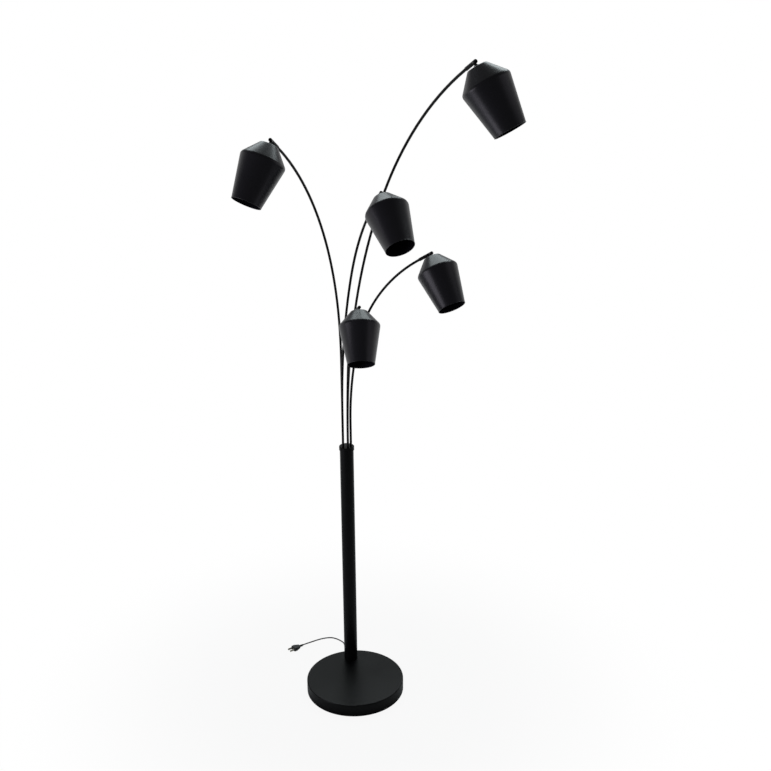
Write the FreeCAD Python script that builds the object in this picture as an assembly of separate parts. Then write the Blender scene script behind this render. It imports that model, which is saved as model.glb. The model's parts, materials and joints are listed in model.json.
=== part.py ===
"""Tree floor lamp: round weighted base, short pole, five bent arms, each with a swivelling cone shade.

Frame: +Z up, X to the viewer's right, Y away from the viewer. The origin is the centre of the
underside of the base. All sizes are in millimetres and degrees.
"""
import FreeCAD, Part
import math
import os
from FreeCAD import Placement, Rotation
from FreeCAD import Vector as V

os.makedirs("parts", exist_ok=True)

# ---------------------------------------------------------------- driving dimensions
BASE_R = 150.0          # outside radius of the base cover
BASE_H = 38.5           # height of the base
COVER_WALL = 1.6        # sheet thickness of the base cover
COVER_EDGE = 3.0        # rounding of the cover's upper edge
PAD_H = 2.0             # felt pad under the weight
FLOOR_GAP = 0.8         # the cover's rim stops this far above the floor

POLE_X = -12.4
POLE_INSET = 42.2       # the pole's axis stands this far in from the rear edge of the base
POLE_R = 20.8
POLE_WALL = 1.5
HUB_TOP = 777.0         # top face of the hub that carries the arms
HUB_R = 22.7
HUB_H = 12.0            # visible height of the hub
BOLT_R = 5.0            # bolt up into the pole's foot
BOLT_POCKET_R = 15.0
BOLT_POCKET_H = 13.0
BOLT_FLANGE_R = 11.6
LEAD_HOLE_R = 3.5
LEAD_HOLE_Y = 14.8      # hole for the lead beside the bolt, behind the pole's axis

ARM_R = 3.5             # bent arm tube
ARM_WALL = 0.8
ARM_CIRCLE_R = 13.0     # the five arms stand on this circle in the hub
ARM_STUB = 84.0         # length of arm tube below the hub's top face
HOLE_GAP = 0.08         # radial gap of an arm in its holes
SPIGOT_H = 14.0         # length of the hub's spigot in the pole
STUD_R = 3.0
GUIDE_DROP = 72.0       # top of the guide disc below the hub's top face
GUIDE_H = 8.0
BLOCK_DROP = 92.0       # underside of the terminal block below the guide disc
BLOCK_W = 22.0
BLOCK_D = 20.0
BLOCK_H = 40.0
BLOCK_GRIP = 8.0

# name: (foot angle, azimuth of the arm's plane, straight rise above the hub,
#        (lower bend radius, angle), (upper bend radius, angle), head tilt from square, head roll)
ARMS = {
    1: (144.0, -112.9, 254.0, (996.0, 7.6), (750.0, 51.1), 2.8, -12.5),
    2: (72.0, -65.7, 22.0, (1287.0, 36.9), (1087.0, 27.8), -0.6, 18.7),
    3: (-144.0, -68.5, 106.0, (1107.0, 23.5), (610.0, 27.7), -5.9, 0.7),
    4: (0.0, -23.5, 76.0, (1108.0, 13.4), (404.0, 45.4), -1.0, -20.0),
    5: (-72.0, -68.7, 15.0, (2103.0, 9.9), (90.0, 47.1), 0.0, -10.8),
}
ARM_END_RUN = 40.0      # straight end of each arm, up to the tilt pin

SLEEVE_R = 4.6          # turned sleeve that swivels on the arm's end
SLEEVE_BACK = 38.0      # it reaches this far behind the tilt pin
SLEEVE_FRONT = 7.5      # and this far past it
SLEEVE_FIT = 0.04       # radial running fit on the arm
ARM_STOP = 10.0         # the arm tube stops this far short of the tilt pin
SLOT_W = 3.4
SLOT_REACH = 5.6
TONGUE_T = 3.0
TONGUE_R = 3.2
PIN_R = 1.25
PIN_FIT = 0.04

HEAD_GAP = 11.2         # tilt pin to the shade's flat top
SHADE_TOP_R = 23.0      # corner radius of the flat top, before rounding
SHADE_MAX_R = 58.0      # corner radius of the shoulder, before rounding
SHADE_MOUTH_R = 38.1
CONE_H = 41.2           # height of the top cone
SHADE_H = 152.2
SHADE_WALL = 0.8
TOP_ROUND, SHOULDER_ROUND = 4.0, 11.0
STEM_R = 5.0            # threaded stem through the shade's top
STEM_L = 18.0           # its length below the shade's flat top
BOSS_R = 9.0            # cone between the shade's flat top and the neck
NECK_R = 4.0
NECK_DROP = 6.4         # tilt pin to the top of the neck
STEM_BORE_R = 2.4
NUT_FLATS = 14.0
HOLDER_R = 14.0
HOLDER_H = 50.0
SOCKET_R = 6.0          # 12 mm lamp thread
SOCKET_H = 24.0

SWITCH_DROP = 202.0     # turn switch on the back of the pole, this far below the hub's top
SWITCH_BARREL_R = 8.0
BEZEL_R, BEZEL_T = 12.0, 3.0
KNOB_R, KNOB_H = 9.5, 13.0
SPINDLE_R = 3.0

CORD_D = 4.0
GLAND_X, GLAND_Z = -29.0, 8.0
GLAND_HOLE_R = 5.0
LEAD_SWING = 60.0       # the lead reaches the pole's axis this far above the base
RELIEF_L = 25.0
RELIEF_GRIP = 4.0       # the outer cord starts this far inside the relief's end
HANK_X, HANK_Y = -13.8, 205.0   # middle of the hank, and where its straight runs begin
HANK_RUN = 78.0
HANK_PITCH = 5.2        # step from one strand to the next at the ends
HANK_WAIST = 0.86       # the runs draw in to this share of their offset under the tie
HANK_LIFT = 1.2         # the tie passes under the strands
HANK_LAYER = 4.55
TIE_W = 6.0
TIE_T = 0.8

# ---------------------------------------------------------------- derived places
POLE_Y = BASE_R - POLE_INSET
POLE_AXIS = V(POLE_X, POLE_Y, 0)
HUB_BOTTOM = HUB_TOP - HUB_H
SPIGOT_BOTTOM = HUB_BOTTOM - SPIGOT_H
GUIDE_TOP = HUB_TOP - GUIDE_DROP
GUIDE_BOTTOM = GUIDE_TOP - GUIDE_H
BLOCK_BOTTOM = GUIDE_BOTTOM - BLOCK_DROP
POLE_BORE_R = POLE_R - POLE_WALL
WEIGHT_TOP = BASE_H - COVER_WALL
GLAND_Y = math.sqrt(BASE_R ** 2 - GLAND_X ** 2)
SWITCH_Z = HUB_TOP - SWITCH_DROP
HANK_LEFT = HANK_X - 3.5 * HANK_PITCH
STRAND_LOW = HANK_LIFT + CORD_D / 2
STRAND_HIGH = STRAND_LOW + HANK_LAYER
X_AXIS, Y_AXIS, Z_AXIS = V(1, 0, 0), V(0, 1, 0), V(0, 0, 1)


# ---------------------------------------------------------------- helpers
def write(name, shape):
    """Check a node's solids and write its file."""
    solids = shape.Solids
    assert solids and shape.isValid(), name
    out = solids[0] if len(solids) == 1 else Part.makeCompound(solids)
    out.exportStep("parts/%s.step" % name)
    print("%-20s solids %d faces %3d volume %.0f" % (name, len(solids), len(out.Faces), out.Volume))


def turn(angle):
    """Unit vector at an angle in the horizontal plane."""
    return V(math.cos(math.radians(angle)), math.sin(math.radians(angle)), 0)


def cylinder(r, z0, z1, centre=V(0, 0, 0)):
    return Part.makeCylinder(r, z1 - z0, centre + V(0, 0, z0))


def ring(r_out, r_in, z0, z1, centre=V(0, 0, 0)):
    return cylinder(r_out, z0, z1, centre).cut(cylinder(r_in, z0 - 1, z1 + 1, centre))


def box(x0, x1, y0, y1, z0, z1):
    return Part.makeBox(x1 - x0, y1 - y0, z1 - z0, V(x0, y0, z0))


def hexagon(flats, z0, z1, centre=V(0, 0, 0)):
    r = flats / math.sqrt(3)
    corners = [centre + turn(60 * i) * r + V(0, 0, z0) for i in range(7)]
    return Part.Face(Part.makePolygon(corners)).extrude(V(0, 0, z1 - z0))


def fillet_points(before, corner, after, radius):
    """Start, middle and end of the arc that rounds a corner."""
    a, b = (before - corner).normalize(), (after - corner).normalize()
    half = a.getAngle(b) / 2
    reach, inset = radius / math.tan(half), radius / math.sin(half) - radius
    middle = corner + (a + b).normalize() * inset
    return corner + a * reach, middle, corner + b * reach


def rounded_wire(points, radii):
    """Straight runs through the points, each inner corner rounded by its radius."""
    edges, last = [], points[0]
    for i, radius in enumerate(radii, 1):
        start, middle, end = fillet_points(points[i - 1], points[i], points[i + 1], radius)
        edges += [Part.makeLine(last, start), Part.Arc(start, middle, end).toShape()]
        last = end
    edges.append(Part.makeLine(last, points[-1]))
    return Part.Wire(edges)


def sweep(wire, radius):
    """Solid round tube along a tangent-continuous wire."""
    edge = wire.Edges[0]
    first = edge.FirstParameter
    profile = Part.Wire(Part.makeCircle(radius, edge.valueAt(first), edge.tangentAt(first)))
    pipe = Part.BRepOffsetAPI.MakePipeShell(wire)
    pipe.add(profile)
    pipe.build()
    pipe.makeSolid()
    return Part.Solid(pipe.shape())


def revolve(points, radii=()):
    """Solid of revolution about Z from (r, z) points that begin and end on the axis."""
    path = [V(r, 0, z) for r, z in points]
    wire = rounded_wire(path, radii) if radii else Part.makePolygon(path)
    closed = Part.Wire(wire.Edges + [Part.makeLine(path[-1], path[0])])
    return Part.Face(closed).revolve(V(0, 0, 0), Z_AXIS, 360)


# ---------------------------------------------------------------- base and pole
def base_cover():
    """Spun sheet cover, open below, with holes for the pole bolt, the lead and the gland."""
    skin = revolve([(0, BASE_H), (BASE_R, BASE_H), (BASE_R, FLOOR_GAP), (0, FLOOR_GAP)],
                   [COVER_EDGE, 0.3])
    inner_r = BASE_R - COVER_WALL
    hollow = revolve([(0, WEIGHT_TOP), (inner_r, WEIGHT_TOP), (inner_r, -1), (0, -1)],
                     [COVER_EDGE - COVER_WALL, 0.3])
    cover = skin.cut(hollow)
    cover = cover.cut(cylinder(BOLT_R + 0.3, 0, BASE_H + 1, POLE_AXIS))
    cover = cover.cut(cylinder(LEAD_HOLE_R, 0, BASE_H + 1, POLE_AXIS + V(0, LEAD_HOLE_Y, 0)))
    gland_hole = Part.makeCylinder(GLAND_HOLE_R, BASE_R, V(GLAND_X, GLAND_Y / 2, GLAND_Z), Y_AXIS)
    return cover.cut(gland_hole)


def lead_channel(width, z0, z1):
    """Straight channel from under the pole to the gland, with room for the gland."""
    start = POLE_AXIS + V(0, LEAD_HOLE_Y, 0)
    end = V(GLAND_X, GLAND_Y, 0)
    along = (end - start).normalize()
    side = V(-along.y, along.x, 0) * (width / 2)
    reach = along * 8
    corners = [start - reach + side, start - reach - side, end + reach - side, end + reach + side]
    loop = [c + V(0, 0, z0) for c in corners + corners[:1]]
    channel = Part.Face(Part.makePolygon(loop)).extrude(V(0, 0, z1 - z0))
    return channel.fuse(box(GLAND_X - 8, GLAND_X + 8, GLAND_Y - 17, GLAND_Y + 10, z0, z1))


def base_weight():
    """Cast disc that fills the cover, with a bolt pocket and a channel for the lead."""
    slack = 0.6
    radius = BASE_R - COVER_WALL - slack
    disc = revolve([(0, PAD_H), (radius, PAD_H), (radius, WEIGHT_TOP), (0, WEIGHT_TOP)], [1.5, 1.5])
    disc = disc.cut(cylinder(BOLT_R + 0.3, 0, BASE_H, POLE_AXIS))
    disc = disc.cut(cylinder(BOLT_POCKET_R, 0, BOLT_POCKET_H, POLE_AXIS))
    disc = disc.cut(cylinder(LEAD_HOLE_R, 0, BASE_H, POLE_AXIS + V(0, LEAD_HOLE_Y, 0)))
    return disc.cut(lead_channel(16.0, 0, GLAND_Z + 7.5))


def base_pad():
    """Soft pad on the underside, open at the bolt pocket and the lead channel."""
    pad = cylinder(BASE_R - 5.0, 0, PAD_H)
    pad = pad.cut(cylinder(BOLT_POCKET_R + 1, -1, PAD_H + 1, POLE_AXIS))
    return pad.cut(lead_channel(18.0, -1, PAD_H + 1))


def pole_tube():
    """Straight tube with a hole at the back for the switch."""
    tube = ring(POLE_R, POLE_BORE_R, BASE_H, HUB_BOTTOM, POLE_AXIS)
    return tube.cut(Part.makeCylinder(SWITCH_BARREL_R, 2 * POLE_R, POLE_AXIS + V(0, 0, SWITCH_Z), Y_AXIS))


def pole_foot_plug():
    """Threaded disc welded inside the pole's foot."""
    plug = cylinder(POLE_BORE_R, BASE_H, BASE_H + 18, POLE_AXIS)
    plug = plug.cut(cylinder(BOLT_R, BASE_H - 1, BASE_H + 19, POLE_AXIS))
    return plug.cut(cylinder(LEAD_HOLE_R, BASE_H - 1, BASE_H + 19, POLE_AXIS + V(0, LEAD_HOLE_Y, 0)))


def pole_bolt():
    """Flanged hexagon bolt up through the weight and the cover into the pole's foot."""
    flange_bottom = BOLT_POCKET_H - 2.0
    head = hexagon(16.0, flange_bottom - 6.4, flange_bottom, POLE_AXIS)
    flange = cylinder(BOLT_FLANGE_R, flange_bottom, BOLT_POCKET_H, POLE_AXIS)
    return head.fuse([flange, cylinder(BOLT_R, BOLT_POCKET_H, BASE_H + 14, POLE_AXIS)])


def arm_foot(key):
    return POLE_AXIS + turn(ARMS[key][0]) * ARM_CIRCLE_R


def drill_arms(shape, z0, z1):
    for key in ARMS:
        shape = shape.cut(cylinder(ARM_R + HOLE_GAP, z0, z1, arm_foot(key)))
    return shape


def hub_cap():
    """Turned hub with a spigot in the pole, five arm holes and a threaded middle."""
    bevel = 1.4
    outline = [(0, HUB_TOP), (HUB_R - bevel, HUB_TOP), (HUB_R, HUB_TOP - bevel), (HUB_R, HUB_BOTTOM),
               (POLE_BORE_R, HUB_BOTTOM), (POLE_BORE_R, SPIGOT_BOTTOM), (0, SPIGOT_BOTTOM)]
    hub = revolve(outline)
    hub.translate(POLE_AXIS)
    hub = hub.cut(cylinder(STUD_R, SPIGOT_BOTTOM - 1, HUB_TOP - 5, POLE_AXIS))
    return drill_arms(hub, SPIGOT_BOTTOM - 1, HUB_TOP + 1)


def hub_guide():
    """Disc inside the pole that steadies the lower ends of the arms."""
    disc = cylinder(POLE_BORE_R - 0.05, GUIDE_BOTTOM, GUIDE_TOP, POLE_AXIS)
    disc = disc.cut(cylinder(STUD_R, GUIDE_BOTTOM - 1, GUIDE_TOP + 1, POLE_AXIS))
    return drill_arms(disc, GUIDE_BOTTOM - 1, GUIDE_TOP + 1)


def hub_stud():
    """Threaded rod and nut that hang the guide disc and the terminal block from the hub."""
    rod = cylinder(STUD_R, BLOCK_BOTTOM + BLOCK_H - BLOCK_GRIP, HUB_TOP - 5, POLE_AXIS)
    return rod.fuse(hexagon(10.0, GUIDE_BOTTOM - 5, GUIDE_BOTTOM, POLE_AXIS))


def terminal_block():
    """Connector block in the pole that joins the mains lead to the five arm leads."""
    block = box(-BLOCK_W / 2, BLOCK_W / 2, -BLOCK_D / 2, BLOCK_D / 2, 0, BLOCK_H)
    for row in (-5.5, 5.5):
        for column in (-6.0, 6.0):
            block = block.cut(cylinder(1.8, -1, BLOCK_H + 1, V(column, row, 0)))
    block = block.cut(cylinder(STUD_R, BLOCK_H - BLOCK_GRIP, BLOCK_H + 1))
    block.translate(POLE_AXIS + V(0, 0, BLOCK_BOTTOM))
    return block


def switch_frame():
    """Frame on the pole's axis at the switch: Z out through the back of the pole."""
    return Placement(POLE_AXIS + V(0, 0, SWITCH_Z), Rotation(Z_AXIS, Y_AXIS))


def switch_body():
    """Snap-in turn switch: barrel in the pole, bezel seated on the pole, spindle."""
    depth = 13.0
    barrel = cylinder(SWITCH_BARREL_R, POLE_BORE_R - depth, POLE_R + BEZEL_T / 2)
    bezel = cylinder(BEZEL_R, 0, POLE_R + BEZEL_T)
    bezel = bezel.cut(Part.makeCylinder(POLE_R, 2 * BEZEL_R + 2, V(0, -BEZEL_R - 1, 0), Y_AXIS))
    spindle = cylinder(SPINDLE_R, POLE_R, POLE_R + BEZEL_T + 10)
    return placed(barrel.fuse([bezel, spindle]).removeSplitter(), switch_frame())


def switch_knob():
    """Fluted knob on the spindle, with a raised pointer."""
    bottom = POLE_R + BEZEL_T + 0.4
    knob = Part.makeCone(KNOB_R, KNOB_R - 1.2, KNOB_H, V(0, 0, bottom))
    knob = knob.makeFillet(1.0, [e for e in knob.Edges if e.BoundBox.ZMin > bottom + KNOB_H - 0.1])
    for i in range(12):
        flute = cylinder(1.4, bottom - 1, bottom + KNOB_H + 1, turn(30 * i + 15) * (KNOB_R + 0.6))
        knob = knob.cut(flute)
    knob = knob.cut(cylinder(SPINDLE_R + 0.05, bottom - 1, POLE_R + BEZEL_T + 10.3))
    pointer = box(-0.8, 0.8, 1.5, KNOB_R - 2.6, bottom + KNOB_H - 0.4, bottom + KNOB_H + 0.6)
    return placed(knob.fuse(pointer), switch_frame())


def base_lead():
    """Sheathed lead inside the lamp, from the gland through the foot to the terminal block."""
    rise = POLE_AXIS + V(0, LEAD_HOLE_Y, 0)
    points = [V(GLAND_X, GLAND_Y + RELIEF_L - RELIEF_GRIP, GLAND_Z), V(GLAND_X, GLAND_Y - 13, GLAND_Z),
              V(rise.x, rise.y, GLAND_Z + 1), V(rise.x, rise.y, BASE_H + 22),
              V(POLE_X, POLE_Y, BASE_H + LEAD_SWING), V(POLE_X, POLE_Y, BLOCK_BOTTOM)]
    return sweep(rounded_wire(points, [8.0, 6.0, 30.0, 30.0]), CORD_D / 2)


def cord_gland():
    """Moulded gland in the rim of the base with its tapered strain relief."""
    lug_end, lug_face, flange_face, flange_end = -12.0, -3.3, 1.1, 3.3
    lug = cylinder(6.2, lug_end, lug_face)
    collar = cylinder(GLAND_HOLE_R, lug_face, flange_face)
    flange = cylinder(7.0, flange_face, flange_end)
    cone = Part.makeCone(4.6, 3.1, RELIEF_L - flange_end, V(0, 0, flange_end))
    gland = lug.fuse([collar, flange, cone]).removeSplitter()
    gland = gland.cut(cylinder(CORD_D / 2, lug_end - 1, RELIEF_L + 1))
    gland.Placement = Placement(V(GLAND_X, GLAND_Y, GLAND_Z), Rotation(Z_AXIS, Y_AXIS))
    return gland


# ---------------------------------------------------------------- arms and heads
def arm_wire(key, stub, end_run):
    """Centre line of an arm from below the hub to near its tilt pin: rise, two bends, straight."""
    _, azimuth, rise, lower, upper, _, _ = ARMS[key]
    out, foot = turn(azimuth), arm_foot(key)
    point = foot + V(0, 0, HUB_TOP + rise)
    edges = [Part.makeLine(foot + V(0, 0, HUB_TOP - stub), point)]
    lean = 0.0
    for radius, angle in (lower, upper):
        centre = point + (out * math.cos(math.radians(lean)) - Z_AXIS * math.sin(math.radians(lean))) * radius
        stops = []
        for share in (0.5, 1.0):
            at = math.radians(lean + angle * share)
            stops.append(centre - (out * math.cos(at) - Z_AXIS * math.sin(at)) * radius)
        edges.append(Part.Arc(point, *stops).toShape())
        lean, point = lean + angle, stops[1]
    along = out * math.sin(math.radians(lean)) + Z_AXIS * math.cos(math.radians(lean))
    edges.append(Part.makeLine(point, point + along * end_run))
    return Part.Wire(edges), point + along * ARM_END_RUN, along


def frame_placement(origin, x_axis, z_axis):
    """Placement whose local X and Z lie along two square directions."""
    y_axis = z_axis.cross(x_axis)
    return Placement(origin, Rotation(x_axis, y_axis, z_axis, "XZY"))


def sleeve_frame(key):
    """Frame at the tilt pin: X along the arm, Z away from the shade, Y along the pin."""
    _, pin, along = arm_wire(key, ARM_STUB, ARM_END_RUN)
    side = along.cross(Z_AXIS).normalize()
    up = side.cross(along)
    roll = math.radians(ARMS[key][6])
    z_axis = up * math.cos(roll) + side * math.sin(roll)
    return frame_placement(pin, along, z_axis)


def head_frame(key):
    """Frame of the tilted head: Z up the shade's axis from the tilt pin."""
    return sleeve_frame(key).multiply(Placement(V(0, 0, 0), Rotation(Y_AXIS, ARMS[key][5])))


def placed(shape, placement):
    copy = shape.copy()
    copy.Placement = placement
    return copy


def arm_tube(key):
    """Bent tube, open at both ends."""
    wire, _, _ = arm_wire(key, ARM_STUB, ARM_END_RUN - ARM_STOP)
    return sweep(wire, ARM_R).cut(sweep(wire, ARM_R - ARM_WALL))


def arm_collar():
    """Long collar on an arm that turns with it between the guide disc and the hub's spigot."""
    play = 0.3
    return ring(5.5, ARM_R, GUIDE_TOP + play, SPIGOT_BOTTOM - play)


def swivel_sleeve():
    """Turned sleeve, bored for the arm, slotted below for the head's tongue."""
    body = Part.makeCylinder(SLEEVE_R, SLEEVE_BACK + SLEEVE_FRONT, V(-SLEEVE_BACK, 0, 0), X_AXIS)
    ends = [e for e in body.Edges if e.Curve.TypeId == "Part::GeomCircle"]
    back, front = sorted(ends, key=lambda e: e.CenterOfMass.x)
    body = body.makeFillet(1.6, [front]).makeChamfer(0.5, [back])
    bore_end = 0.3 - ARM_STOP
    bore_l = SLEEVE_BACK + bore_end + 1
    bore = Part.makeCylinder(ARM_R + SLEEVE_FIT, bore_l, V(-SLEEVE_BACK - 1, 0, 0), X_AXIS)
    wire_bore = Part.makeCylinder(STEM_BORE_R, -bore_end, V(bore_end, 0, 0), X_AXIS)
    slot = box(-SLOT_REACH, SLOT_REACH, -SLOT_W / 2, SLOT_W / 2, -SLEEVE_R - 1, TONGUE_R + 0.25)
    pin_hole = Part.makeCylinder(PIN_R, 2 * SLEEVE_R + 2, V(0, -SLEEVE_R - 1, 0), Y_AXIS)
    return body.cut(bore).cut(wire_bore).cut(slot).cut(pin_hole)


def tilt_pin():
    """Riveted pin through both cheeks of the sleeve."""
    length = 2 * SLEEVE_R - 0.5
    return Part.makeCylinder(PIN_R, length, V(0, -length / 2, 0), Y_AXIS)


def head_stem():
    """Tongue, conical boss and hollow threaded stem, turned and milled from one bar."""
    thread_end = -HEAD_GAP - STEM_L
    tongue = box(-TONGUE_R, TONGUE_R, -TONGUE_T / 2, TONGUE_T / 2, -NECK_DROP, 0)
    tongue = tongue.fuse(Part.makeCylinder(TONGUE_R, TONGUE_T, V(0, -TONGUE_T / 2, 0), Y_AXIS))
    boss = revolve([(0, -HEAD_GAP), (BOSS_R, -HEAD_GAP), (BOSS_R, -HEAD_GAP + 0.8),
                    (NECK_R, -NECK_DROP), (0, -NECK_DROP)])
    stem = tongue.fuse([boss, cylinder(STEM_R, thread_end, -HEAD_GAP)]).removeSplitter()
    stem = stem.cut(cylinder(STEM_BORE_R, thread_end - 1, -NECK_DROP - 2.0))
    return stem.cut(Part.makeCylinder(PIN_R + PIN_FIT, 2 * TONGUE_T, V(0, -TONGUE_T, 0), Y_AXIS))


def shade_outline(inset):
    """Flat top, cone and tapering body moved inwards by a wall, as (r, z) corners."""
    top, shoulder, mouth = -HEAD_GAP, -HEAD_GAP - CONE_H, -HEAD_GAP - SHADE_H
    cone_run, body_run = SHADE_MAX_R - SHADE_TOP_R, SHADE_MAX_R - SHADE_MOUTH_R
    body_drop = SHADE_H - CONE_H
    cone_shift = inset * math.hypot(cone_run, CONE_H) / cone_run     # moved down, measured along Z
    body_shift = inset * math.hypot(body_run, body_drop) / body_drop  # moved in, measured along r
    slope, taper = CONE_H / cone_run, body_run / body_drop
    top_r = SHADE_TOP_R - (cone_shift - inset) / slope
    drop = (cone_shift - slope * body_shift) / (1 - slope * taper)
    corner_r = SHADE_MAX_R - body_shift - taper * drop
    corner_z = shoulder - drop
    reach = 0.0 if inset == 0 else 2.0
    return [(0, top - inset), (top_r, top - inset), (corner_r, corner_z),
            (SHADE_MOUTH_R - body_shift - taper * reach, mouth - reach), (0, mouth - reach)]


def shade():
    """Spun steel shade: one skin from the flat top to the open mouth."""
    skin = revolve(shade_outline(0), [TOP_ROUND, SHOULDER_ROUND, 0.3])
    hollow = revolve(shade_outline(SHADE_WALL), [TOP_ROUND - SHADE_WALL, SHOULDER_ROUND - SHADE_WALL, 0.3])
    return skin.cut(hollow).cut(cylinder(STEM_R, -HEAD_GAP - 5, 0))


def shade_nut():
    """Thin hexagon nut that clamps the shade against the stem's flange."""
    top = -HEAD_GAP - SHADE_WALL
    return hexagon(NUT_FLATS, top - 4.0, top).cut(cylinder(STEM_R, top - 5, top + 1))


def lamp_holder():
    """Moulded lamp holder screwed on the stem, with a shouldered skirt and an open socket."""
    top = -HEAD_GAP - SHADE_WALL - 4.0
    bottom = top - HOLDER_H
    body = revolve([(0, top), (9.0, top), (HOLDER_R, top - 9), (HOLDER_R, top - 24),
                    (HOLDER_R - 2, top - 26), (HOLDER_R - 2, bottom), (0, bottom)],
                   [1.5, 2.0, 0.5, 0.5, 0.8])
    body = body.cut(cylinder(STEM_R, -HEAD_GAP - STEM_L, top + 1))
    return body.cut(cylinder(SOCKET_R, bottom - 1, bottom + SOCKET_H))


# ---------------------------------------------------------------- cord
CORD_TO_HANK = [
    V(GLAND_X, GLAND_Y + RELIEF_L - RELIEF_GRIP, GLAND_Z), V(GLAND_X, GLAND_Y + RELIEF_L + 2, GLAND_Z),
    V(-29.7, 181.6, 7.0), V(-31.6, 193.0, 3.9), V(HANK_LEFT, HANK_Y - 6, STRAND_LOW),
    V(HANK_LEFT, HANK_Y, STRAND_LOW)]
CORD_TO_PLUG = [
    V(HANK_LEFT, HANK_Y, STRAND_HIGH), V(HANK_LEFT, HANK_Y + 13, STRAND_HIGH),
    V(-33.4, 233.0, 7.0), V(-37.0, 249.0, 4.7), V(-46.5, 263.5, 2.4),
    V(-59.0, 275.5, 2.0), V(-74.0, 284.0, 2.0), V(-90.0, 284.4, 2.0), V(-107.0, 280.4, 2.0),
    V(-125.0, 272.6, 2.0), V(-141.0, 262.8, 2.2), V(-152.5, 253.4, 4.2), V(-163.0, 244.6, 6.0),
    V(-172.0, 238.5, 6.0)]
PLUG_AXIS = (CORD_TO_PLUG[-1] - CORD_TO_PLUG[-2]).normalize()


def cord_wire(points, label):
    """Runs joined by arcs as large as the two runs allow."""
    radii = []
    for i in range(1, len(points) - 1):
        before, after = points[i] - points[i - 1], points[i + 1] - points[i]
        half = before.getAngle(after) / 2
        radii.append(0.45 * min(before.Length, after.Length) / math.tan(half))
    print("%s radii %s" % (label, " ".join("%.0f" % r for r in radii)))
    return rounded_wire(points, radii)


def cord_stretch(points, label):
    wire = cord_wire(points, label)
    tube = sweep(wire, CORD_D / 2)
    section = math.pi * (CORD_D / 2) ** 2
    print("%s length %.0f volume ratio %.4f" % (label, wire.Length, tube.Volume / (section * wire.Length)))
    return tube


def arc_to(start, heading, end, tangent_length):
    """Arc that leaves start along heading and reaches end."""
    control = start + heading * tangent_length
    middle = (start + end) * 0.5
    bend = (middle - control).Length / tangent_length
    if bend < 1e-4:
        return Part.makeLine(start, end)
    share = math.tan(math.asin(min(1.0, bend)) / 2) / bend
    return Part.Arc(start, control + (middle - control) * share, end).toShape()


def biarc(p0, t0, p1, t1):
    """Two tangent arcs between two points with given headings."""
    v, t = p1 - p0, t0 + t1
    spread = 2 * (1 - t0.dot(t1))
    if spread < 1e-9:
        length = v.dot(v) / (4 * v.dot(t1))
    else:
        length = (-v.dot(t) + math.sqrt(v.dot(t) ** 2 + spread * v.dot(v))) / spread
    joint = (p0 + p1 + (t0 - t1) * length) * 0.5
    return [arc_to(p0, t0, joint, length), arc_to(p1, t1 * -1, joint, length)]


def hank_strands():
    """Offset in pitches and layer at each end of every run, in winding order."""
    bottom = [-3.5, 4.0, -2.5, 3.0, -1.5, 2.0, -0.5]
    top = [2.0, -1.5, 3.0, -2.5, 4.0]
    runs = [(offset, 0, 0) for offset in bottom[:-1]]
    runs.append((bottom[-1], 0, 1))
    return runs + [(offset, 1, 1) for offset in top]


def hank_nodes():
    """Points and headings along the hank: run ends, waists and the tips of the end turns."""
    nodes = []
    strands = hank_strands() + [(-3.5, 1, 1)]
    for i, (offset, layer0, layer1) in enumerate(strands):
        sense = 1 if i % 2 == 0 else -1
        x = HANK_X + offset * HANK_PITCH
        waist = HANK_X + offset * HANK_PITCH * HANK_WAIST
        z0, z1 = [(STRAND_LOW, STRAND_HIGH)[layer] for layer in (layer0, layer1)]
        y0, y1 = (HANK_Y, HANK_Y + HANK_RUN)[::sense]
        heading = Y_AXIS * sense
        nodes.append((V(x, y0, z0), heading))
        if i == len(strands) - 1:
            break
        climb = (Y_AXIS * sense * HANK_RUN + V(0, 0, 1.5 * (z1 - z0))).normalize()
        nodes.append((V(waist, HANK_Y + HANK_RUN / 2, (z0 + z1) / 2), climb))
        nodes.append((V(x, y1, z1), heading))
        next_x = HANK_X + strands[i + 1][0] * HANK_PITCH
        tip = y1 + sense * abs(next_x - x) / 2
        side = 1 if next_x > x else -1
        nodes.append((V((x + next_x) / 2, tip, z1), X_AXIS * side))
    return nodes


def hank_wire():
    nodes = hank_nodes()
    edges = []
    for (p0, t0), (p1, t1) in zip(nodes, nodes[1:]):
        edges += biarc(p0, t0, p1, t1)
    return Part.Wire(Part.__sortEdges__(edges))


def least_gap(wire, step=2.0):
    """Least distance between strands of the hank, less the cord's diameter."""
    points = wire.discretize(Distance=step)
    skip = int(3 * CORD_D / step)
    gaps = [(points[i] - points[j]).Length
            for i in range(len(points)) for j in range(i + skip, len(points))]
    return min(gaps) - CORD_D


def cord_hank():
    """The unseen length, wound in two layers, as one unbroken tube."""
    wire = hank_wire()
    tube = sweep(wire, CORD_D / 2)
    section = math.pi * (CORD_D / 2) ** 2
    print("hank length %.0f least gap %.2f volume ratio %.4f"
          % (wire.Length, least_gap(wire), tube.Volume / (section * wire.Length)))
    return tube


def hank_tie():
    """Flat tie round the hank's waist."""
    gap = 0.15
    left = HANK_X - 3.5 * HANK_PITCH * HANK_WAIST - CORD_D / 2 - gap
    right = HANK_X + 4.0 * HANK_PITCH * HANK_WAIST + CORD_D / 2 + gap
    low, high = HANK_LIFT - gap, STRAND_HIGH + CORD_D / 2 + gap
    middle = HANK_Y + HANK_RUN / 2

    def slab(grow):
        block = box(left - grow, right + grow, middle - TIE_W / 2, middle + TIE_W / 2,
                    low - grow, high + grow)
        upright = [e for e in block.Edges if abs(e.tangentAt(e.FirstParameter).y) > 0.99]
        return block.makeFillet(CORD_D / 2 + grow, upright)
    return slab(TIE_T).cut(slab(0))


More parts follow.
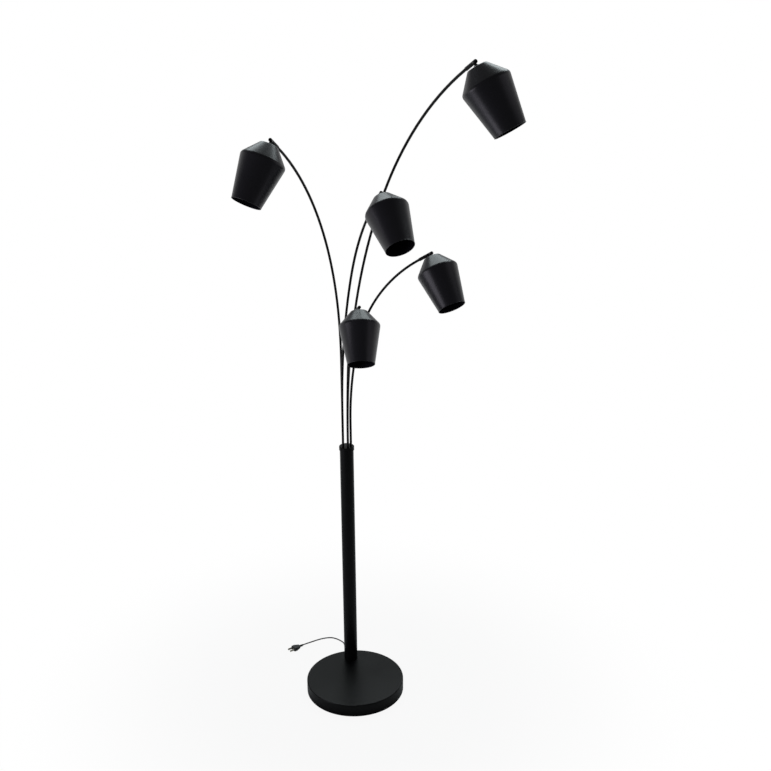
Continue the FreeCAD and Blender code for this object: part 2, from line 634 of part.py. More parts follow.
def plug_placement():
    origin = CORD_TO_PLUG[-1]
    return frame_placement(origin, PLUG_AXIS, Z_AXIS)


RELIEF_PLUG_L, PLUG_L, PLUG_W, PLUG_T = 14.0, 24.0, 22.0, 12.0


def plug_body():
    """Moulded two-pole plug lying flat, with a tapered strain relief."""
    rear = Part.makePolygon([V(RELIEF_PLUG_L, y, z) for y, z in
                             ((-6, -4.5), (6, -4.5), (6, 4.5), (-6, 4.5), (-6, -4.5))])
    widest = RELIEF_PLUG_L + 0.6 * PLUG_L
    half_w, half_t = PLUG_W / 2, PLUG_T / 2
    corners = ((-half_w, -half_t), (half_w, -half_t), (half_w, half_t), (-half_w, half_t), (-half_w, -half_t))
    middle = Part.makePolygon([V(widest, y, z) for y, z in corners])
    flare = Part.makeLoft([rear, middle], True, True)
    block = box(widest, RELIEF_PLUG_L + PLUG_L, -half_w, half_w, -half_t, half_t)
    body = flare.fuse(block).removeSplitter()
    body = body.makeFillet(1.6, [e for e in body.Edges if e.BoundBox.XLength > 2])
    relief = Part.makeCone(3.0, 4.2, RELIEF_PLUG_L + 1, V(0, 0, 0), X_AXIS)
    return body.fuse(relief).removeSplitter()


def plug_blades():
    """Two flat contact blades, 12.7 mm apart."""
    front = RELIEF_PLUG_L + PLUG_L
    blade = box(front, front + 16, -0.75, 0.75, -3.15, 3.15)
    blade = blade.makeFillet(1.2, [e for e in blade.Edges
                                   if e.BoundBox.YLength > 1 and e.CenterOfMass.x > front + 15])
    return Part.makeCompound([blade.translated(V(0, y, 0)) for y in (-6.35, 6.35)])


# ---------------------------------------------------------------- build
def build_base():
    for maker in (base_cover, base_weight, base_pad, pole_tube, pole_foot_plug, pole_bolt, hub_cap,
                  hub_guide, hub_stud, terminal_block, base_lead, cord_gland, switch_body, switch_knob):
        write(maker.__name__, maker())


def build_arms():
    sleeve, pin, stem, skin, nut, holder = (
        swivel_sleeve(), tilt_pin(), head_stem(), shade(), shade_nut(), lamp_holder())
    collar = arm_collar()
    for key in ARMS:
        write("arm_tube_%d" % key, arm_tube(key))
        write("arm_collar_%d" % key, collar.translated(arm_foot(key)))
        write("swivel_sleeve_%d" % key, placed(sleeve, sleeve_frame(key)))
        write("tilt_pin_%d" % key, placed(pin, sleeve_frame(key)))
        for name, shape in (("head_stem", stem), ("shade", skin), ("shade_nut", nut),
                            ("lamp_holder", holder)):
            write("%s_%d" % (name, key), placed(shape, head_frame(key)))


def build_cord():
    write("cord_to_hank", cord_stretch(CORD_TO_HANK, "cord_to_hank"))
    write("cord_hank", cord_hank())
    write("hank_tie", hank_tie())
    write("cord_to_plug", cord_stretch(CORD_TO_PLUG, "cord_to_plug"))
    write("plug_body", placed(plug_body(), plug_placement()))
    write("plug_blades", placed(plug_blades(), plug_placement()))


def main():
    build_base()
    build_arms()
    build_cord()


main()
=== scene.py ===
"""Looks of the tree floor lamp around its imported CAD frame: shades, cord, materials, light and camera.

Everything is in metres in the CAD frame: +Z up, +X to the right, +Y away from the viewer.
"""
import json
import math
import bmesh
import bpy
from bpy.props import FloatProperty, FloatVectorProperty, IntProperty
from mathutils import Matrix, Vector


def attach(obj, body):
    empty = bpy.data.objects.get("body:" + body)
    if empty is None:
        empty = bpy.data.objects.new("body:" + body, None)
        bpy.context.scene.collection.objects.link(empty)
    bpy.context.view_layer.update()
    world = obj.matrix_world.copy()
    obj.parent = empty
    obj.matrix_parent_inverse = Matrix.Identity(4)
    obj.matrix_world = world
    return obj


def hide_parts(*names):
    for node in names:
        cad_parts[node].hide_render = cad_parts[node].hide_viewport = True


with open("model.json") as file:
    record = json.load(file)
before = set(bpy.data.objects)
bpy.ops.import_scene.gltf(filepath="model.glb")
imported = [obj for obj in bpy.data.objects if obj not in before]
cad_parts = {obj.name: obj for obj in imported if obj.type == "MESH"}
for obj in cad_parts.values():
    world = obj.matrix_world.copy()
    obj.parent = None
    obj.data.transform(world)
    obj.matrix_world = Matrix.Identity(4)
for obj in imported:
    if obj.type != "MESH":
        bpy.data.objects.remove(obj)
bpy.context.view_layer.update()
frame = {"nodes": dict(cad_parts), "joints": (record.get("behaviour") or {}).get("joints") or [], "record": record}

bl_info = {
    "name": "Tree floor lamp",
    "version": (1, 0, 0),
    "blender": (4, 5, 0),
    "location": "View3D > Sidebar > Lamp",
    "description": "Dresses the packed frame of a tree floor lamp",
    "category": "Object",
}

HEADS = (1, 2, 3, 4, 5)
DUST_COLOR = (0.16, 0.155, 0.15)
DUST_SHARE = 0.25           # of the dust's colour in the middle of a speck


# ---------------------------------------------------------------- settings
class LampSizes(bpy.types.PropertyGroup):
    """Sizes of the pieces that are built here."""
    head_gap: FloatProperty(name="Head gap", unit="LENGTH", default=0.0112,
                            description="Tilt pin to the shade's flat top")
    top_radius: FloatProperty(name="Top radius", unit="LENGTH", default=0.023,
                              description="Corner radius of the shade's flat top")
    shoulder_radius: FloatProperty(name="Shoulder radius", unit="LENGTH", default=0.058,
                                   description="Corner radius of the shade's shoulder")
    mouth_radius: FloatProperty(name="Mouth radius", unit="LENGTH", default=0.0381,
                                description="Radius of the shade's mouth")
    cone_height: FloatProperty(name="Cone height", unit="LENGTH", default=0.0412,
                               description="Height of the shade's top cone")
    shade_height: FloatProperty(name="Shade height", unit="LENGTH", default=0.1522,
                                description="Flat top to mouth")
    shade_wall: FloatProperty(name="Shade wall", unit="LENGTH", default=0.0008,
                              description="Sheet thickness of the shade")
    top_round: FloatProperty(name="Top rounding", unit="LENGTH", default=0.004,
                             description="Rounding of the edge of the flat top")
    shoulder_round: FloatProperty(name="Shoulder rounding", unit="LENGTH", default=0.011,
                                  description="Rounding of the shoulder")
    stem_radius: FloatProperty(name="Stem radius", unit="LENGTH", default=0.005,
                               description="Radius of the hole in the flat top")
    hem_bead: FloatProperty(name="Hem bead", default=1.1, min=0.5,
                            description="Radius of the rolled hem over the shade's wall")
    cord_diameter: FloatProperty(name="Cord diameter", unit="LENGTH", default=0.004,
                                 description="Outside diameter of the mains cord")
    hank_pitch: FloatProperty(name="Hank pitch", unit="LENGTH", default=0.0052,
                              description="Step from one strand of the hank to the next")
    hank_run: FloatProperty(name="Hank run", unit="LENGTH", default=0.078,
                            description="Straight length of a strand between its turns")
    hank_layer: FloatProperty(name="Hank layer", unit="LENGTH", default=0.00455,
                              description="Height from one layer of the hank to the next")
    hank_waist: FloatProperty(name="Hank waist", default=0.86, min=0.5, max=1.0,
                              description="Share to which the runs draw in under the tie")
    segments: IntProperty(name="Segments", default=128, min=24, max=256,
                          description="Faces round each turned piece")


class LampLooks(bpy.types.PropertyGroup):
    """Colours, finishes, light and camera."""
    paint: FloatVectorProperty(name="Paint", subtype="COLOR", size=3, default=(0.0036, 0.0036, 0.0038),
                               min=0, max=1, description="Colour of the coat on the stand and the arms")
    # The shades' coat is a lighter, bluer copy of the stand's black coat; its extra lightness is painted fill
    # light on the shades.
    shade_paint: FloatVectorProperty(name="Shade paint", subtype="COLOR", size=3,
                                     default=(0.017, 0.0166, 0.022), min=0, max=1,
                                     description="Colour of the coat on the shades")
    lining: FloatVectorProperty(name="Lining", subtype="COLOR", size=3, default=(0.05, 0.05, 0.05),
                                min=0, max=1, description="Colour of the matt coat inside the shades")
    plastic: FloatVectorProperty(name="Plastic", subtype="COLOR", size=3, default=(0.014, 0.014, 0.014),
                                 min=0, max=1, description="Colour of the mouldings")
    cord: FloatVectorProperty(name="Cord", subtype="COLOR", size=3, default=(0.012, 0.009, 0.009),
                              min=0, max=1, description="Colour of the cord's sheath")
    floor: FloatVectorProperty(name="Floor", subtype="COLOR", size=3, default=(0.65, 0.65, 0.65),
                               min=0, max=1, description="Colour of the floor in the light it sends back")
    paint_roughness: FloatProperty(name="Paint roughness", default=0.32, min=0, max=1,
                                   description="Roughness of the powder coat")
    top_light: FloatProperty(name="Top light", default=95.0, min=0, unit="POWER",
                             description="Power of the soft light overhead")
    side_light: FloatProperty(name="Side light", default=17.0, min=0, unit="POWER",
                              description="Power of the soft light on the left")
    right_share: FloatProperty(name="Right light's share", default=0.22, min=0,
                               description="Power of the light on the right over that on the left")
    fill: FloatProperty(name="Fill", default=0.07, min=0, max=2,
                        description="Brightness of the surroundings in reflections and shade")
    lens: FloatProperty(name="Lens", default=1115.0 / 771.0 * 36.0, min=1,
                        description="Focal length in millimetres for a 36 mm sensor")
    distance: FloatProperty(name="Camera distance", unit="LENGTH", default=2.979,
                            description="Camera's distance in front of the base's centre")
    height: FloatProperty(name="Camera height", unit="LENGTH", default=2.074,
                          description="Camera's height above the floor")
    pitch: FloatProperty(name="Pitch", default=math.radians(19.73), subtype="ANGLE",
                         description="How far the camera looks down")
    yaw: FloatProperty(name="Yaw", default=math.radians(-1.96), subtype="ANGLE",
                       description="Turn of the camera about the vertical")
    roll: FloatProperty(name="Roll", default=math.radians(-0.44), subtype="ANGLE",
                        description="Turn of the camera about its own axis")


def sizes():
    return bpy.context.scene.lamp_sizes


def looks():
    return bpy.context.scene.lamp_looks


# ---------------------------------------------------------------- mesh helpers
def arc_corner(before, corner, after, radius, steps):
    """Points of the arc that rounds one corner of a profile."""
    a, b = (before - corner).normalized(), (after - corner).normalized()
    half = a.angle(b) / 2
    reach = radius / math.tan(half)
    centre = corner + (a + b).normalized() * (radius / math.sin(half))
    start, end = corner + a * reach, corner + b * reach
    turn = math.pi - 2 * half
    points = []
    for i in range(steps + 1):
        t = turn * i / steps
        points.append(centre + (start - centre) * (math.sin(turn - t) / math.sin(turn))
                      + (end - centre) * (math.sin(t) / math.sin(turn)))
    return points


def rounded_profile(corners, radii, steps):
    """(r, z) profile through the corners, each inner one rounded by its radius."""
    pts = [Vector(c) for c in corners]
    out = [pts[0]]
    for i, radius in enumerate(radii, 1):
        out += arc_corner(pts[i - 1], pts[i], pts[i + 1], radius, steps)
    return out + [pts[-1]]


def lathe(name, profile, lining):
    """Mesh turned about Z from a closed profile of (r, z); from the lining's point on, in slot 1."""
    count = sizes().segments
    bm = bmesh.new()
    rings = []
    for r, z in profile:
        ring = []
        for i in range(count):
            a = 2 * math.pi * i / count
            ring.append(bm.verts.new((r * math.cos(a), r * math.sin(a), z)))
        rings.append(ring)
    for row, (low, high) in enumerate(zip(rings, rings[1:] + rings[:1])):
        for i in range(count):
            j = (i + 1) % count
            face = bm.faces.new((low[i], low[j], high[j], high[i]))
            face.material_index = int(row >= lining)
    bmesh.ops.recalc_face_normals(bm, faces=bm.faces)
    mesh = bpy.data.meshes.new(name)
    bm.to_mesh(mesh)
    bm.free()
    smooth(mesh)
    return mesh


def smooth(mesh, angle=35.0):
    """Smooth shading with edges sharper than the angle kept."""
    mesh.shade_smooth()
    mesh.set_sharp_from_angle(angle=math.radians(angle))


def add(name, data, place=None):
    """New object in the scene."""
    obj = bpy.data.objects.new(name, data)
    bpy.context.scene.collection.objects.link(obj)
    if place is not None:
        obj.matrix_world = place
    return obj


def dress(obj, *materials):
    """Give an object its materials, one for each slot of its faces."""
    obj.data.materials.clear()
    for material in materials:
        obj.data.materials.append(material)


def basis(origin, x_axis, y_axis, z_axis):
    """Placement matrix from an origin and three unit axes."""
    columns = [Vector(v).to_4d() for v in (x_axis, y_axis, z_axis)]
    for column in columns:
        column.w = 0
    columns.append(Vector(origin).to_4d())
    return Matrix(columns).transposed()


def head_place(key):
    """Frame of a head at rest: origin at its tilt pin, Z up the shade's axis."""
    joint = next(j for j in frame["joints"] if j["name"] == "head_tilt_%d" % key)
    mount = next(m for m in frame["record"]["mounts"] if m["name"] == "lamp_thread_%d" % key)
    z_axis = -Vector(mount["axis"]).normalized()
    y_axis = Vector(joint["axis"]).normalized()
    return basis(joint["pos_m"], y_axis.cross(z_axis), y_axis, z_axis)


# ---------------------------------------------------------------- node helpers
def new_node(tree, kind, inputs=None, **settings):
    """Node with its settings and the constants of its sockets."""
    node = tree.nodes.new(kind)
    for key, value in settings.items():
        setattr(node, key, value)
    for key, value in (inputs or {}).items():
        node.inputs[key].default_value = value
    return node


def map_range(tree, from_min, from_max, to_min=0.0, to_max=1.0, interpolation="LINEAR"):
    """Map Range node between two pairs of limits."""
    return new_node(tree, "ShaderNodeMapRange", {"From Min": from_min, "From Max": from_max,
                                                 "To Min": to_min, "To Max": to_max},
                    interpolation_type=interpolation)


def new_group(name, ins, outs):
    """Empty node group with named sockets; returns the tree, its input and its output node."""
    tree = bpy.data.node_groups.new(name, "ShaderNodeTree")
    for label, kind, value in ins:
        socket = tree.interface.new_socket(label, in_out="INPUT", socket_type=kind)
        socket.default_value = value
    for label, kind in outs:
        tree.interface.new_socket(label, in_out="OUTPUT", socket_type=kind)
    return tree, tree.nodes.new("NodeGroupInput"), tree.nodes.new("NodeGroupOutput")


def surface_noise_group():
    """Mottle, fine grain, dust and a bumped normal for painted and moulded surfaces."""
    tree, given, result = new_group(
        "surface_noise",
        [("Grain", "NodeSocketFloat", 900.0), ("Height", "NodeSocketFloat", 0.1),
         ("Patches", "NodeSocketFloat", 9.0)],
        [("Mottle", "NodeSocketFloat"), ("Fine", "NodeSocketFloat"), ("Dust", "NodeSocketFloat"),
         ("Normal", "NodeSocketVector")])
    place = new_node(tree, "ShaderNodeTexCoord")
    fine = new_node(tree, "ShaderNodeTexNoise", {"Detail": 3.0, "Roughness": 0.55})
    patches = new_node(tree, "ShaderNodeTexNoise", {"Detail": 4.0, "Roughness": 0.6})
    specks = new_node(tree, "ShaderNodeTexVoronoi", {"Scale": 420.0, "Randomness": 1.0})
    size = map_range(tree, 0.02, 0.12, 1.0, 0.0)
    few = map_range(tree, 0.56, 0.72)
    dust = new_node(tree, "ShaderNodeMath", operation="MULTIPLY")
    bump = new_node(tree, "ShaderNodeBump", {"Distance": 0.0002})
    join = tree.links.new
    for texture in (fine, patches, specks):
        join(place.outputs["Object"], texture.inputs["Vector"])
    join(given.outputs["Grain"], fine.inputs["Scale"])
    join(given.outputs["Patches"], patches.inputs["Scale"])
    join(specks.outputs["Distance"], size.inputs["Value"])
    join(patches.outputs["Fac"], few.inputs["Value"])
    join(size.outputs["Result"], dust.inputs[0])
    join(few.outputs["Result"], dust.inputs[1])
    join(fine.outputs["Fac"], bump.inputs["Height"])
    join(given.outputs["Height"], bump.inputs["Strength"])
    join(patches.outputs["Fac"], result.inputs["Mottle"])
    join(fine.outputs["Fac"], result.inputs["Fine"])
    join(dust.outputs["Value"], result.inputs["Dust"])
    join(bump.outputs["Normal"], result.inputs["Normal"])
    return tree


def coated(name, color, light, roughness, spread, grain, height, patches, dust=0.5, metallic=0.0,
           specular=0.5):
    """Material whose colour, roughness and relief come from the shared surface noise.

    light is how much lighter the palest patches are, spread how far the roughness strays,
    grain and patches the scales of the fine and the broad noise, and height the relief's strength.
    """
    material = bpy.data.materials.new(name)
    material.use_nodes = True
    tree = material.node_tree
    shader = tree.nodes["Principled BSDF"]
    shader.inputs["Metallic"].default_value = metallic
    shader.inputs["Specular IOR Level"].default_value = specular
    noise = new_node(tree, "ShaderNodeGroup", node_tree=bpy.data.node_groups["surface_noise"])
    noise.inputs["Grain"].default_value = grain
    noise.inputs["Height"].default_value = height
    noise.inputs["Patches"].default_value = patches
    tone = new_node(tree, "ShaderNodeMix", data_type="RGBA")
    tone.inputs["A"].default_value = (*color, 1)
    tone.inputs["B"].default_value = (*[c * light for c in color], 1)
    dusty = new_node(tree, "ShaderNodeMix", data_type="RGBA")
    dusty.inputs["B"].default_value = (*DUST_COLOR, 1)
    amount = new_node(tree, "ShaderNodeMath", {1: dust * DUST_SHARE}, operation="MULTIPLY")
    rough = map_range(tree, 0.3, 0.7, roughness - spread, roughness + spread)
    join = tree.links.new
    join(noise.outputs["Mottle"], tone.inputs["Factor"])
    join(tone.outputs["Result"], dusty.inputs["A"])
    join(noise.outputs["Dust"], amount.inputs[0])
    join(amount.outputs["Value"], dusty.inputs["Factor"])
    join(dusty.outputs["Result"], shader.inputs["Base Color"])
    join(noise.outputs["Mottle"], rough.inputs["Value"])
    join(rough.outputs["Result"], shader.inputs["Roughness"])
    join(noise.outputs["Normal"], shader.inputs["Normal"])
    return material


def turned_steel():
    """Bright turned steel with fine tool rings along Z."""
    material = coated("turned_steel", (0.42, 0.41, 0.4), light=1.25, roughness=0.32, spread=0.08,
                      grain=2500.0, height=0.05, patches=30.0, dust=0.2, metallic=1.0)
    tree = material.node_tree
    shader = tree.nodes["Principled BSDF"]
    place = new_node(tree, "ShaderNodeTexCoord")
    rings = new_node(tree, "ShaderNodeTexWave", {"Scale": 600.0, "Distortion": 0.6, "Detail": 1.0},
                     bands_direction="Z")
    bump = new_node(tree, "ShaderNodeBump", {"Strength": 0.12, "Distance": 0.00005})
    tree.links.new(place.outputs["Object"], rings.inputs["Vector"])
    tree.links.new(rings.outputs["Fac"], bump.inputs["Height"])
    tree.links.new(bump.outputs["Normal"], shader.inputs["Normal"])
    return material


# ---------------------------------------------------------------- operators
class LAMP_OT_stage(bpy.types.Operator):
    """Floor, surroundings, soft lights and camera"""
    bl_idname = "lamp.stage"
    bl_label = "Stage"

    COOL = (0.9, 1.0, 1.02)
    VIOLET = (1.0, 0.96, 1.1)
    # each soft light: its place, the point it faces, its width and height, and its colour
    TOP = ((0.5, 2.5, 3.5), (0.5, 2.5, 0.0), (3.6, 3.0), COOL)
    LEFT = ((-2.6, -1.2, 1.0), (0.0, -0.1, 1.0), (1.7, 1.8), VIOLET)
    RIGHT = ((2.7, -0.9, 1.9), (0.0, -0.1, 1.1), (1.8, 2.4), VIOLET)
    FLOOR_REACH = 12.0          # from the middle of the floor to its edges
    FLOOR_GAP = 0.0004          # between the floor and the pad on it
    NEAR, FAR = 0.3, 1.1        # distances over which the floor pales to white
    NEAR_WHITE = 0.92           # how white it is round the base
    REAR = (0.6, 1.6)           # Y over which mirrored rays begin to find the floor white
    BEHIND = (-0.1, 0.3)        # the same for the surroundings, as a direction's Y
    LOW = (0.1, 0.4)            # a direction's Z over which the mirrored backdrop fades
    MIRRORED = 0.6              # how white mirrored rays find floor and backdrop
    MIRRORED_HIGH = 0.08        # and the backdrop above LOW

    def execute(self, context):
        self.camera(context)
        self.floor()
        self.surroundings(context)
        look = looks()
        self.light("light_top", look.top_light, *self.TOP)
        self.light("light_left", look.side_light, *self.LEFT)
        self.light("light_right", look.side_light * look.right_share, *self.RIGHT)
        return {"FINISHED"}

    def camera(self, context):
        look = looks()
        right = Vector((math.cos(look.yaw), math.sin(look.yaw), 0))
        ahead = Vector((-math.sin(look.yaw), math.cos(look.yaw), 0))
        forward = ahead * math.cos(look.pitch) - Vector((0, 0, math.sin(look.pitch)))
        above = ahead * math.sin(look.pitch) + Vector((0, 0, math.cos(look.pitch)))
        x_axis = right * math.cos(look.roll) + above * math.sin(look.roll)
        y_axis = above * math.cos(look.roll) - right * math.sin(look.roll)
        data = bpy.data.cameras.new("camera")
        data.sensor_width = 36.0
        data.lens = look.lens
        data.clip_end = 50.0
        cam = add("camera", data, basis((0, -look.distance, look.height), x_axis, y_axis, -forward))
        context.scene.camera = cam
        context.scene.view_settings.view_transform = "Standard"

    def floor(self):
        bm = bmesh.new()
        bmesh.ops.create_grid(bm, x_segments=8, y_segments=8, size=self.FLOOR_REACH)
        mesh = bpy.data.meshes.new("floor")
        bm.to_mesh(mesh)
        bm.free()
        floor = add("floor", mesh, Matrix.Translation((0, 0, -self.FLOOR_GAP)))
        material = bpy.data.materials.new("floor")
        material.use_nodes = True
        tree = material.node_tree
        shader = tree.nodes["Principled BSDF"]
        shader.inputs["Base Color"].default_value = (*looks().floor, 1)
        shader.inputs["Roughness"].default_value = 0.9
        seen = new_node(tree, "ShaderNodeEmission", {"Color": (1, 1, 1, 1), "Strength": 1.0})
        place = new_node(tree, "ShaderNodeTexCoord")
        away = new_node(tree, "ShaderNodeVectorMath", operation="LENGTH")
        axes = new_node(tree, "ShaderNodeSeparateXYZ")
        near = map_range(tree, self.NEAR, self.FAR, self.NEAR_WHITE, 1.0, "SMOOTHSTEP")
        rear = map_range(tree, *self.REAR, 0.0, self.MIRRORED, "SMOOTHSTEP")
        mix = new_node(tree, "ShaderNodeMixShader")
        join = tree.links.new
        join(place.outputs["Object"], away.inputs[0])
        join(place.outputs["Object"], axes.inputs["Vector"])
        join(away.outputs["Value"], near.inputs["Value"])
        join(axes.outputs["Y"], rear.inputs["Value"])
        join(self.background_share(tree, near.outputs["Result"], rear.outputs["Result"]), mix.inputs["Fac"])
        join(shader.outputs["BSDF"], mix.inputs[1])
        join(seen.outputs["Emission"], mix.inputs[2])
        join(mix.outputs["Shader"], tree.nodes["Material Output"].inputs["Surface"])
        dress(floor, material)

    def surroundings(self, context):
        world = bpy.data.worlds.new("surroundings")
        context.scene.world = world
        world.use_nodes = True
        tree = world.node_tree
        dim = tree.nodes["Background"]
        fill = looks().fill
        dim.inputs["Color"].default_value = (fill, fill, fill, 1)
        white = new_node(tree, "ShaderNodeBackground", {"Color": (1, 1, 1, 1), "Strength": 1.0})
        place = new_node(tree, "ShaderNodeTexCoord")
        axes = new_node(tree, "ShaderNodeSeparateXYZ")
        behind = map_range(tree, *self.BEHIND)
        height = map_range(tree, *self.LOW, self.MIRRORED, self.MIRRORED_HIGH)
        backdrop = new_node(tree, "ShaderNodeMath", operation="MULTIPLY")
        mix = new_node(tree, "ShaderNodeMixShader")
        join = tree.links.new
        join(place.outputs["Generated"], axes.inputs["Vector"])
        join(axes.outputs["Y"], behind.inputs["Value"])
        join(axes.outputs["Z"], height.inputs["Value"])
        join(behind.outputs["Result"], backdrop.inputs[0])
        join(height.outputs["Result"], backdrop.inputs[1])
        join(self.background_share(tree, None, backdrop.outputs["Value"]), mix.inputs["Fac"])
        join(dim.outputs["Background"], mix.inputs[1])
        join(white.outputs["Background"], mix.inputs[2])
        join(mix.outputs["Shader"], tree.nodes["World Output"].inputs["Surface"])

    def background_share(self, tree, seen, mirrored):
        """How white a ray finds the background: seen is for the camera, mirrored for reflections."""
        ray = new_node(tree, "ShaderNodeLightPath")
        direct = new_node(tree, "ShaderNodeMath", {1: 1.0}, operation="MULTIPLY")
        indirect = new_node(tree, "ShaderNodeMath", {1: 1.0}, operation="MULTIPLY")
        either = new_node(tree, "ShaderNodeMath", operation="MAXIMUM")
        share = new_node(tree, "ShaderNodeMath", operation="MAXIMUM")
        join = tree.links.new
        join(ray.outputs["Is Camera Ray"], direct.inputs[0])
        join(ray.outputs["Is Glossy Ray"], either.inputs[0])
        join(ray.outputs["Is Transmission Ray"], either.inputs[1])
        join(either.outputs["Value"], indirect.inputs[0])
        if seen is not None:
            join(seen, direct.inputs[1])
        join(mirrored, indirect.inputs[1])
        join(direct.outputs["Value"], share.inputs[0])
        join(indirect.outputs["Value"], share.inputs[1])
        return share.outputs["Value"]

    def light(self, name, power, place, target, extent, color):
        data = bpy.data.lights.new(name, "AREA")
        data.color = color
        data.shape = "RECTANGLE"
        data.size, data.size_y = extent
        data.energy = power
        lamp = add(name, data)
        away = Vector(place) - Vector(target)
        lamp.matrix_world = Matrix.Translation(place) @ away.to_track_quat("Z", "Y").to_matrix().to_4x4()


class LAMP_OT_materials(bpy.types.Operator):
    """Procedural materials, put on every CAD node by its material slot"""
    bl_idname = "lamp.materials"
    bl_label = "Materials"

    def execute(self, context):
        surface_noise_group()
        look = looks()
        made = {
            "black_paint": coated("powder_coat", tuple(look.paint), light=1.35, spread=0.04,
                                  roughness=look.paint_roughness, grain=1100.0, height=0.03,
                                  patches=5.0, dust=0.06, specular=0.18),
            # shade_coat: the stand's black coat made lighter on the shades, as painted fill light
            "shade_coat": coated("shade_coat", tuple(look.shade_paint), light=1.3, spread=0.03,
                                 roughness=look.paint_roughness, grain=1100.0, height=0.006,
                                 patches=5.0, dust=0.03),
            "lining": coated("matt_lining", tuple(look.lining), light=1.4, roughness=0.8, spread=0.06,
                             grain=900.0, height=0.08, patches=8.0, dust=0.1, specular=0.15),
            "moulding": coated("moulded_plastic", tuple(look.plastic), light=1.6, roughness=0.55,
                               spread=0.08, grain=1900.0, height=0.3, patches=14.0),
            "cord": coated("cord_sheath", tuple(look.cord), light=1.5, roughness=0.5, spread=0.07,
                           grain=1400.0, height=0.15, patches=20.0, dust=0.9),
            "pad": coated("foam_pad", (0.02, 0.02, 0.021), light=1.7, roughness=0.9, spread=0.05,
                          grain=700.0, height=0.8, patches=25.0, dust=0.8),
            "weight": coated("cast_concrete", (0.33, 0.32, 0.3), light=1.35, roughness=0.85, spread=0.1,
                             grain=260.0, height=0.9, patches=18.0, dust=0.3),
            "steel": turned_steel(),
            "blades": coated("nickel_plate", (0.62, 0.58, 0.5), light=1.1, roughness=0.22, spread=0.06,
                             grain=2200.0, height=0.06, patches=40.0, dust=0.1, metallic=1.0),
        }
        slots = {p["node"]: p["material_slot"] for p in frame["record"]["subparts"]}
        for name, node in frame["nodes"].items():
            dress(node, made[slots[name]])
            smooth(node.data)
        return {"FINISHED"}


class LAMP_OT_cord(bpy.types.Operator):
    """Mains cord: gland, hank behind the base, visible stretch and plug"""
    bl_idname = "lamp.cord"
    bl_label = "Cord"

    # the route's points, in millimetres: gland to hank, and hank to plug
    TO_HANK = ((-29.0, 168.2, 8.0), (-29.0, 174.2, 8.0), (-29.7, 181.6, 7.0), (-31.6, 193.0, 3.9),
               (-32.0, 199.0, 3.2))
    TO_PLUG = ((-32.0, 218.0, 7.75), (-33.4, 233.0, 7.0), (-37.0, 249.0, 4.7), (-46.5, 263.5, 2.4),
               (-59.0, 275.5, 2.0), (-74.0, 284.0, 2.0), (-90.0, 284.4, 2.0), (-107.0, 280.4, 2.0),
               (-125.0, 272.6, 2.0), (-141.0, 262.8, 2.2), (-152.5, 253.4, 4.2), (-163.0, 244.6, 6.0),
               (-172.0, 238.5, 6.0))
    # offset of each strand in pitches, in winding order, and its layer at each end
    STRANDS = ((-3.5, 0, 0), (4.0, 0, 0), (-2.5, 0, 0), (3.0, 0, 0), (-1.5, 0, 0), (2.0, 0, 0), (-0.5, 0, 1),
               (2.0, 1, 1), (-1.5, 1, 1), (3.0, 1, 1), (-2.5, 1, 1), (4.0, 1, 1), (-3.5, 1, 1))
    HANK_CENTRE = (-0.0138, 0.205)
    HANK_BOTTOM = 0.0012

    def hank_points(self):
        """Control points of the hank: the waist of each run and a half octagon round each turn."""
        size = sizes()
        middle, near = self.HANK_CENTRE
        rise = self.HANK_BOTTOM + size.cord_diameter / 2
        corner = math.tan(math.pi / 8)
        points = []
        for i, (offset, layer0, layer1) in enumerate(self.STRANDS[:-1]):
            sense = 1 if i % 2 == 0 else -1
            x = middle + offset * size.hank_pitch
            after = middle + self.STRANDS[i + 1][0] * size.hank_pitch
            end = near + size.hank_run if sense > 0 else near
            z0, z1 = (rise + size.hank_layer * layer for layer in (layer0, layer1))
            drawn = x + (middle - x) * (1 - size.hank_waist) * 4 / 3
            radius = abs(after - x) / 2
            side = math.copysign(1, after - x)
            points.append((drawn, near + size.hank_run / 2, (z0 + z1) / 2))
            points.append((x, end + sense * corner * radius, z1))
            points.append((x + side * radius * (1 - corner), end + sense * radius, z1))
            points.append((x + side * radius * (1 + corner), end + sense * radius, z1))
            points.append((after, end + sense * corner * radius, z1))
        return points

    def execute(self, context):
        size = sizes()
        middle, near = self.HANK_CENTRE
        first = (middle - 3.5 * size.hank_pitch, near, self.HANK_BOTTOM + size.cord_diameter / 2)
        points = [Vector(p) / 1000 for p in self.TO_HANK] + [Vector(first)]
        points += [Vector(p) for p in self.hank_points()]
        points += [Vector(p) / 1000 for p in self.TO_PLUG]
        curve = bpy.data.curves.new("mains_cord", "CURVE")
        curve.dimensions = "3D"
        curve.bevel_depth = size.cord_diameter / 2
        curve.bevel_resolution = 3
        curve.resolution_u = 6
        curve.use_fill_caps = True
        spline = curve.splines.new("NURBS")
        spline.points.add(len(points) - 1)
        for point, place in zip(spline.points, points):
            point.co = (*place, 1)
        spline.order_u = 3
        spline.use_endpoint_u = True
        cord = add("mains_cord", curve)
        dress(cord, bpy.data.materials["cord_sheath"])
        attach(cord, "stand")
        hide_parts("cord_to_hank", "cord_hank", "cord_to_plug")
        return {"FINISHED"}


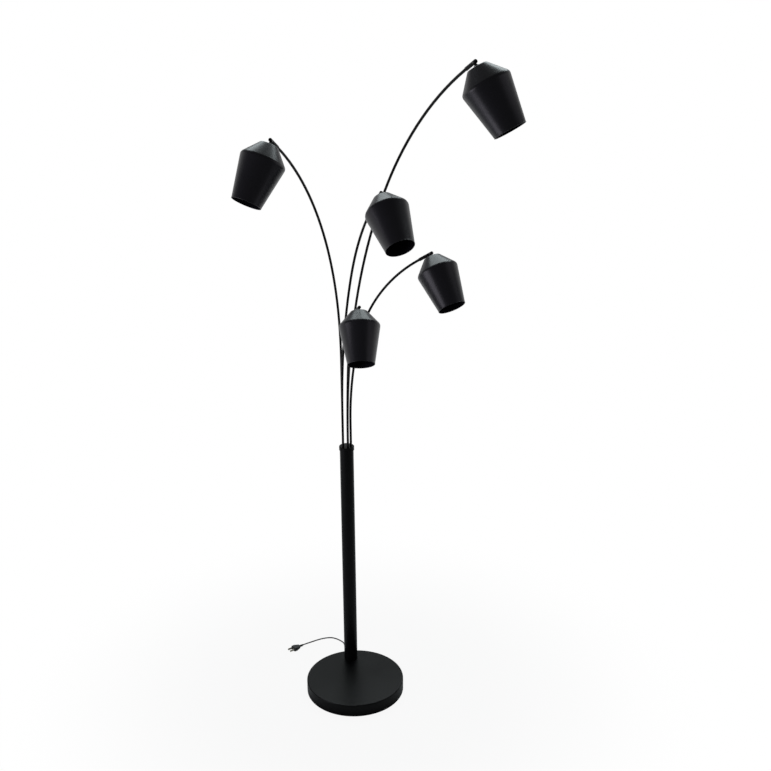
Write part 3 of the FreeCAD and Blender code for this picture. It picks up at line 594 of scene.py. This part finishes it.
class LAMP_OT_shades(bpy.types.Operator):
    """The five spun shades, each one sheet with a rolled hem at the mouth"""
    bl_idname = "lamp.shades"
    bl_label = "Shades"

    ROUND_STEPS = 12            # points along each rounded corner
    HEM_STEPS = 9               # points round the hem, from HEM_FIRST degrees down by HEM_STEP each
    HEM_FIRST, HEM_STEP = 50, 35
    HEM_RISE = 0.6              # from the mouth to the bead's centre, over the bead's radius
    HEM_START = 1.9             # from the mouth to where the sheet begins to swell, over the same
    HEM_PROUD = 0.0001

    def outline(self, inset):
        """Corners of the shade's outline moved inwards by the wall."""
        size = sizes()
        cone_run = size.shoulder_radius - size.top_radius
        body_run = size.shoulder_radius - size.mouth_radius
        body_drop = size.shade_height - size.cone_height
        cone_shift = inset * math.hypot(cone_run, size.cone_height) / cone_run
        body_shift = inset * math.hypot(body_run, body_drop) / body_drop
        slope, taper = size.cone_height / cone_run, body_run / body_drop
        drop = (cone_shift - slope * body_shift) / (1 - slope * taper)
        top = -size.head_gap
        return [(size.stem_radius, top - inset),
                (size.top_radius - (cone_shift - inset) / slope, top - inset),
                (size.shoulder_radius - body_shift - taper * drop, top - size.cone_height - drop),
                (size.mouth_radius - body_shift, top - size.shade_height)]

    def execute(self, context):
        size = sizes()
        wall = size.shade_wall
        outer = rounded_profile(self.outline(0), [size.top_round, size.shoulder_round], self.ROUND_STEPS)
        inner = rounded_profile(self.outline(wall), [size.top_round - wall, size.shoulder_round - wall],
                                self.ROUND_STEPS)
        mouth = outer[-1]
        bead = wall * size.hem_bead
        hem = [mouth + Vector((self.HEM_PROUD, bead * self.HEM_START))]
        for i in range(self.HEM_STEPS):
            a = math.radians(self.HEM_FIRST - self.HEM_STEP * i)
            middle = Vector((-wall / 2, bead * self.HEM_RISE))
            hem.append(mouth + middle + Vector((bead * math.cos(a), bead * math.sin(a))))
        profile = outer[:-1] + hem + inner[::-1]
        mesh = lathe("shade_skin", profile, len(profile) - len(inner))
        for key in HEADS:
            data = mesh.copy()
            data.transform(head_place(key))
            skin = add("shade_skin_%d" % key, data)
            dress(skin, bpy.data.materials["shade_coat"], bpy.data.materials["matt_lining"])
            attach(skin, "head_%d" % key)
            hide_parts("shade_%d" % key)
        return {"FINISHED"}


class LAMP_PT_panel(bpy.types.Panel):
    """Sidebar panel with the settings and the steps"""
    bl_idname = "LAMP_PT_panel"
    bl_label = "Tree floor lamp"
    bl_space_type = "VIEW_3D"
    bl_region_type = "UI"
    bl_category = "Lamp"

    def draw(self, context):
        for operator in STEPS:
            self.layout.operator(operator.bl_idname)
        for settings in (context.scene.lamp_sizes, context.scene.lamp_looks):
            for name in settings.__annotations__:
                self.layout.prop(settings, name)


STEPS = (LAMP_OT_stage, LAMP_OT_materials, LAMP_OT_cord, LAMP_OT_shades)
CLASSES = (LampSizes, LampLooks) + STEPS + (LAMP_PT_panel,)


def register():
    for cls in CLASSES:
        bpy.utils.register_class(cls)
    bpy.types.Scene.lamp_sizes = bpy.props.PointerProperty(type=LampSizes)
    bpy.types.Scene.lamp_looks = bpy.props.PointerProperty(type=LampLooks)


def unregister():
    del bpy.types.Scene.lamp_looks
    del bpy.types.Scene.lamp_sizes
    for cls in reversed(CLASSES):
        bpy.utils.unregister_class(cls)


def main():
    register()
    bpy.ops.lamp.stage()
    bpy.ops.lamp.materials()
    bpy.ops.lamp.cord()
    bpy.ops.lamp.shades()


if __name__ == "__main__":
    main()
